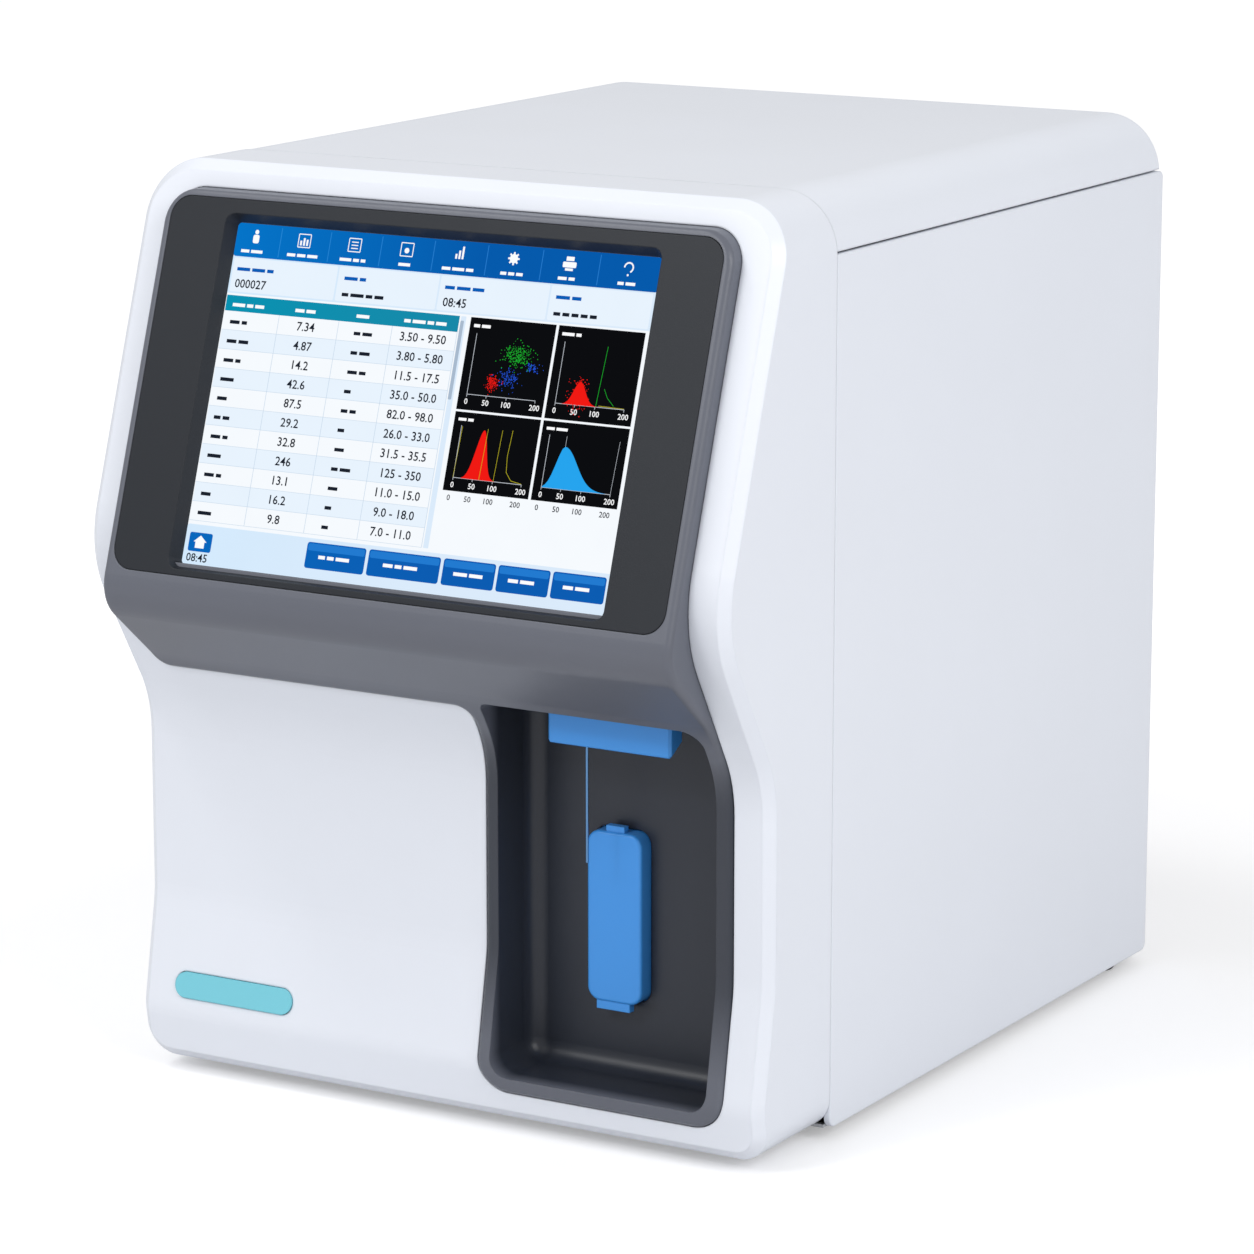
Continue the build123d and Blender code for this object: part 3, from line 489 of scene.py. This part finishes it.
def draw_table(chance):
    left = 0.002
    plate("teal", left, table_top, table_right, rows_top)
    for u, width in ((0.020, 0.094), (0.174, 0.060), (0.322, 0.038), (0.436, 0.100)):
        greeked("white", u, 0.236, width, 0.024, chance)
    rows = (
        ("7.34", "3.50 - 9.50"), ("4.87", "3.80 - 5.80"), ("14.2", "11.5 - 17.5"), ("42.6", "35.0 - 50.0"),
        ("87.5", "82.0 - 98.0"), ("29.2", "26.0 - 33.0"), ("32.8", "31.5 - 35.5"), ("246", "125 - 350"),
        ("13.1", "11.0 - 15.0"), ("16.2", "9.0 - 18.0"), ("9.8", "7.0 - 11.0"),
    )
    for row, (value, reach) in enumerate(rows):
        top = rows_top + row * row_height
        middle = top + row_height / 2
        if row % 2:
            plate("band", left, top, table_right, top + row_height)
        plate("rule", left, top + row_height - 0.0012, table_right, top + row_height)
        greeked("dark_text", 0.020, middle, chance.choice((0.040, 0.042, 0.056)), 0.026, chance)
        digits("dark_text", value, 0.205, middle, value_size)
        greeked("dark_text", 0.322, middle, chance.choice((0.016, 0.036, 0.046)), word_height, chance)
        digits("dark_text", reach, 0.486, middle, value_size)
    bottom = rows_top + len(rows) * row_height
    for u in (0.137, 0.282, 0.410, table_right):
        plate("rule", u - 0.0006, rows_top, u + 0.0006, bottom)
    plate("pale", 0.566, table_top, 0.578, bottom)
    plate("scroll", 0.568, 0.225, 0.576, 0.450, 0.0005)


def graph(u0, v0, u1, v1):
    """A black tile with its axes; gives back a function from tile places to screen places."""
    plate("tile", u0, v0, u1, v1)

    def inside(x, y):
        return u0 + (u1 - u0) * (0.10 + 0.84 * x), v1 - (v1 - v0) * (0.17 + 0.66 * y)

    stroke("axis", [inside(0, 1), inside(0, 0), inside(0.95, 0)], axis_line)
    for x, text in ((0.0, "0"), (0.27, "50"), (0.55, "100"), (0.95, "200")):
        u, v = inside(x, 0)
        plate("axis", u - 0.0006, v, u + 0.0006, v + 0.007)
        digits("white", text, u, v + 0.021, scale_size)
    return inside


def cluster(layer, inside, x, y, spread_x, spread_y, count, chance):
    """A cloud of small dots round a place in the tile."""
    for _ in range(count):
        u, v = inside(chance.gauss(x, spread_x), chance.gauss(y, spread_y))
        disc(layer, u, v, chance.uniform(0.00014, 0.00030), 5)


def hill(layer, inside, peak, height, left, right):
    """A filled curve that rises to its peak and falls away."""
    steps = 26
    start = max(0.01, peak - 3 * left)
    end = min(0.95, peak + 3.2 * right)
    for step in range(steps):
        xs = [start + (end - start) * (step + k) / steps for k in (0, 1)]
        ys = [height * math.exp(-((x - peak) / (left if x < peak else right)) ** 2 / 2) for x in xs]
        patch(layer, [inside(xs[0], ys[0]), inside(xs[1], ys[1]), inside(xs[1], 0), inside(xs[0], 0)])


def draw_graphs(chance):
    upper = (table_top, 0.474)
    lower = (0.480, 0.704)
    left = (0.590, 0.788)
    right = (0.794, 0.990)
    inside = graph(left[0], upper[0], left[1], upper[1])
    greeked("white", 0.600, 0.232, 0.046, 0.022, chance)
    cluster("green", inside, 0.62, 0.70, 0.10, 0.09, 260, chance)
    cluster("red", inside, 0.32, 0.21, 0.045, 0.065, 150, chance)
    cluster("blue", inside, 0.55, 0.30, 0.075, 0.080, 130, chance)
    cluster("blue", inside, 0.84, 0.52, 0.050, 0.040, 60, chance)
    inside = graph(right[0], upper[0], right[1], upper[1])
    greeked("white", 0.804, 0.232, 0.044, 0.022, chance)
    cluster("red", inside, 0.30, 0.16, 0.060, 0.13, 240, chance)
    hill("red", inside, 0.30, 0.38, 0.07, 0.09)
    stroke("green", [inside(0.56, 0), inside(0.58, 0.5), inside(0.60, 0.98)], curve_line)
    stroke("green", [inside(0.64, 0.30), inside(0.70, 0.16), inside(0.80, 0.04)], thin_line)
    stroke("yellow", [inside(0.60, 0.02), inside(0.95, 0.01)], curve_line)
    inside = graph(left[0], lower[0], left[1], lower[1])
    greeked("white", 0.600, 0.498, 0.040, 0.020, chance)
    hill("red", inside, 0.33, 0.95, 0.075, 0.075)
    for x in (0.02, 0.38, 0.58):
        stroke("yellow", [inside(x - 0.02, 0), inside(x, 0.98)], thin_line)
    stroke("yellow", [
        inside(0.72, 1.0), inside(0.70, 0.5), inside(0.72, 0.2), inside(0.80, 0.05), inside(0.95, 0.01)
    ], curve_line)
    inside = graph(right[0], lower[0], right[1], lower[1])
    greeked("white", 0.804, 0.498, 0.048, 0.020, chance)
    hill("cyan", inside, 0.24, 0.80, 0.085, 0.20)
    stroke("axis", [inside(0.24, 0), inside(0.24, 1.0)], mark_line)
    stroke("axis", [inside(0.95, 0), inside(0.97, 1.0)], mark_line)
    for start in (0.600, 0.804):
        for x, text in ((0.006, "0"), (0.050, "50"), (0.097, "100"), (0.160, "200")):
            digits("dark_text", text, start + x, 0.724, scale_size)


def draw_foot(chance):
    plate("pale", 0, foot_top, 1, 1, 0.001)
    plate("button", 0.010, 0.905, 0.066, 0.960, 0.0009)
    patch("white", [(0.022, 0.932), (0.038, 0.913), (0.054, 0.932)])
    plate("white", 0.027, 0.932, 0.049, 0.950)
    digits("dark_text", "08:45", 0.010, 0.979, 0.0050, "LEFT")
    buttons = ((0.296, 0.437), (0.444, 0.613), (0.620, 0.741), (0.747, 0.866), (0.872, 0.993))
    for left, right in buttons:
        plate("button", left, 0.893, right, 0.968, 0.0012)
        plate("button_light", left + 0.003, 0.897, right - 0.003, 0.917, 0.0008)
        width = (right - left) * 0.56
        greeked("white", (left + right - width) / 2, 0.930, width, word_height, chance)


def add_screen_picture():
    """Draws all layers and lays each on the front of the touch glass."""
    chance = random.Random(11)
    plate("paper", 0, 0, 1, 1, 0.001)
    draw_header(chance)
    draw_fields(chance)
    draw_table(chance)
    draw_graphs(chance)
    draw_foot(chance)
    glass_low, glass_high = (Vector(corner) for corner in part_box("touch_glass"))
    up = Vector((0, math.sin(screen_tilt), math.cos(screen_tilt)))
    out = Vector((0, -math.cos(screen_tilt), math.sin(screen_tilt)))
    origin = (glass_low + glass_high) / 2 + out * glass_thickness / 2
    place = Matrix((
        (1, 0, 0, origin.x), (0, up.y, out.y, origin.y), (0, up.z, out.z, origin.z), (0, 0, 0, 1)
    ))
    for name, drawn in screen_meshes.items():
        data = bpy.data.meshes.new("screen_" + name)
        drawn.to_mesh(data)
        drawn.free()
        piece = bpy.data.objects.new("screen_" + name, data)
        piece.matrix_world = place
        scene.collection.objects.link(piece)
        color = linear(screen_colors[name])
        left_color = linear(screen_left_colors.get(name, screen_colors[name]))
        data.materials.append(glow("screen_" + name, color, left_color))
        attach(piece, "housing")


# Floor and light
floor_reach = 6.0
near_lift = 0.30
far_lift = 0.55
lift_start = 0.35
lift_end = 1.0
world_strength = 0.58

# Name, place, aim, power and size of each lamp
area_lights = (
    ("key", (-0.9, -2.4, 2.2), (0, 0, 0.2), 20, 1.4),
    ("sparkle", (-0.8, -2.4, 2.0), (0, 0, 0.2), 8, 0.3),
    ("overhead", (-1.2, -0.7, 2.4), (0, 0, 0.3), 9, 0.5),
    ("side", (2.4, -0.9, 1.7), (0, 0, 0.2), 30, 1.4),
)


def seen_directly(tree):
    """1 for rays from the camera, also through clear pieces, and 0 for the light on the object."""
    path = tree.nodes.new("ShaderNodeLightPath")
    either = tree.nodes.new("ShaderNodeMath")
    either.operation = "MAXIMUM"
    tree.links.new(path.outputs["Is Camera Ray"], either.inputs[0])
    tree.links.new(path.outputs["Is Transmission Ray"], either.inputs[1])
    return either.outputs[0]


def add_floor():
    """A pale floor that keeps its shadow near the object and turns white away from it."""
    data = bpy.data.meshes.new("floor")
    sides = ((-1, -1), (1, -1), (1, 1), (-1, 1))
    corners = [(x * floor_reach, y * floor_reach, 0) for x, y in sides]
    data.from_pydata(corners, [], [(0, 1, 2, 3)])
    floor = bpy.data.objects.new("floor", data)
    scene.collection.objects.link(floor)
    material, tree, shader = node_material("floor")
    grain = noise(tree, 3.0)
    tree.links.new(mottled(tree, (0.80, 0.80, 0.81), grain, 0.01), shader.inputs["Base Color"])
    shader.inputs["Roughness"].default_value = 0.9
    shader.inputs["Specular IOR Level"].default_value = 0.1
    shader.inputs["Emission Color"].default_value = (1.0, 1.0, 1.0, 1)
    coords = tree.nodes.new("ShaderNodeTexCoord")
    distance = tree.nodes.new("ShaderNodeVectorMath")
    distance.operation = "LENGTH"
    tree.links.new(coords.outputs["Object"], distance.inputs[0])
    away = ramp(tree, distance.outputs["Value"], lift_start, lift_end)
    lift = product(tree, seen_directly(tree), spread(tree, away, near_lift, far_lift))
    tree.links.new(lift, shader.inputs["Emission Strength"])
    floor.data.materials.append(material)


def add_light(name, location, target, power, size):
    data = bpy.data.lights.new(name, "AREA")
    data.energy = power
    data.size = size
    light = bpy.data.objects.new(name, data)
    light.location = location
    direction = Vector(target) - Vector(location)
    light.rotation_euler = direction.to_track_quat("-Z", "Y").to_euler()
    scene.collection.objects.link(light)


def light_scene():
    world = bpy.data.worlds.new("studio")
    scene.world = world
    world.use_nodes = True
    tree = world.node_tree
    background = tree.nodes["Background"]
    strength = spread(tree, seen_directly(tree), world_strength, 1.0)
    tree.links.new(strength, background.inputs["Strength"])
    background.inputs["Color"].default_value = (1, 1, 1, 1)
    for light in area_lights:
        add_light(*light)


add_camera()
dress_nodes()
add_screen_picture()
add_floor()
light_scene()
